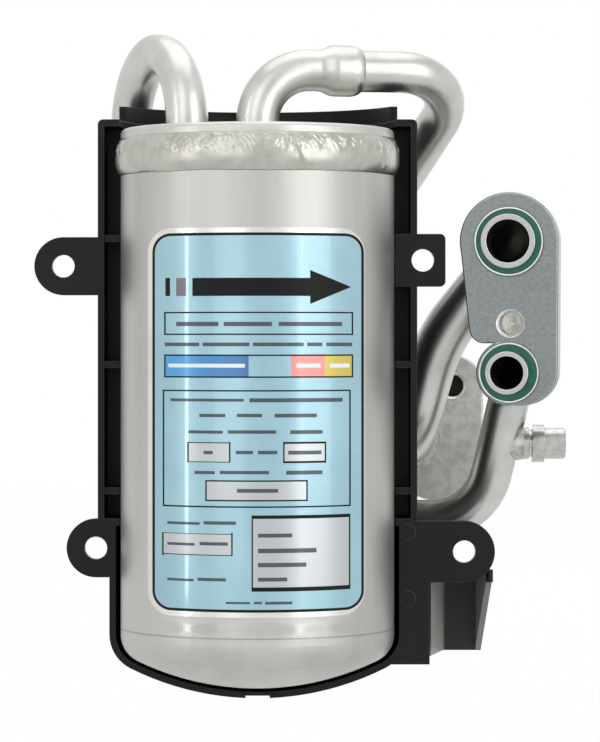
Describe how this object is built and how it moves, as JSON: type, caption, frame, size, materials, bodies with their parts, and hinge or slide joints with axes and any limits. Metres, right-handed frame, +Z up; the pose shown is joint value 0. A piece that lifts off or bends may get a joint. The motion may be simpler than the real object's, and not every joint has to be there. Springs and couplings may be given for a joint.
{
  "type": "filter drier",
  "caption": "Welded aluminium receiver filter drier in a black moulded cradle bracket, with bent refrigerant tubes, block fittings with seals and a service port.",
  "frame": {"origin": "centre of the bracket's upper left mounting hole, on the rear face of its tab", "axes": "+Z up along the receiver, -Y out of the mounting holes towards the front, +X to the side of the block fittings"},
  "size_m": [0.2006, 0.1695, 0.2497],
  "materials": {
    "drawn_aluminium": "satin drawn",
    "cap_aluminium": "satin turned",
    "weld_aluminium": "as welded",
    "label_film": "metallised printed film",
    "black_nylon": "moulded",
    "tube_aluminium": "drawn and bent",
    "braze_alloy": "as brazed",
    "block_aluminium": "tumbled and machined",
    "green_rubber": "moulded HNBR",
    "seal_steel": "zinc plated",
    "service_aluminium": "bright turned",
    "core_brass": "turned",
    "spring_steel": "drawn wire",
    "black_steel": "black oxide",
    "zinc_steel": "zinc plated",
    "felt_pad": "needled felt",
    "desiccant_beads": "fired beads"
  },
  "bodies": {
    "receiver_assembly": {"receiver_shell": "drawn_aluminium", "receiver_cap": "cap_aluminium", "cap_weld_bead": "weld_aluminium", "rating_label": "label_film", "cradle_bracket": "black_nylon", "receiver_studs": "zinc_steel", "receiver_nuts": "zinc_steel", "inlet_tube": "tube_aluminium", "outlet_stub_tube": "tube_aluminium", "outlet_tube": "tube_aluminium", "suction_tube": "tube_aluminium", "liquid_tube": "tube_aluminium", "front_block": "block_aluminium", "rear_block": "block_aluminium", "rear_block_stud": "black_steel", "front_suction_seal": "green_rubber", "front_suction_seal_ring": "seal_steel", "front_liquid_seal": "green_rubber", "front_liquid_seal_ring": "seal_steel", "rear_suction_seal": "green_rubber", "rear_suction_seal_ring": "seal_steel", "rear_liquid_seal": "green_rubber", "rear_liquid_seal_ring": "seal_steel", "inlet_cap_braze": "braze_alloy", "outlet_cap_braze": "braze_alloy", "inlet_union_braze": "braze_alloy", "outlet_union_braze": "braze_alloy", "front_suction_braze": "braze_alloy", "front_liquid_braze": "braze_alloy", "rear_suction_braze": "braze_alloy", "rear_liquid_braze": "braze_alloy", "service_port_body": "service_aluminium", "service_port_braze": "braze_alloy", "valve_core_body": "core_brass", "valve_core_spring": "spring_steel", "pickup_tube": "tube_aluminium", "lower_screen": "zinc_steel", "lower_filter_pad": "felt_pad", "desiccant_bed": "desiccant_beads", "upper_filter_pad": "felt_pad", "upper_screen": "zinc_steel", "bed_spring": "spring_steel"},
    "valve_pin": {"valve_core_pin": "core_brass"}
  },
  "joints": [
    {"name": "valve_pin_slide", "type": "slide", "parent": "receiver_assembly", "child": "valve_pin", "axis": [-1, 0, 0], "range_m": [0, 0.0016], "stiffness_N_per_m": 2500, "springref_m": -0.0016, "deforming": ["valve_core_spring"]}
  ]
}
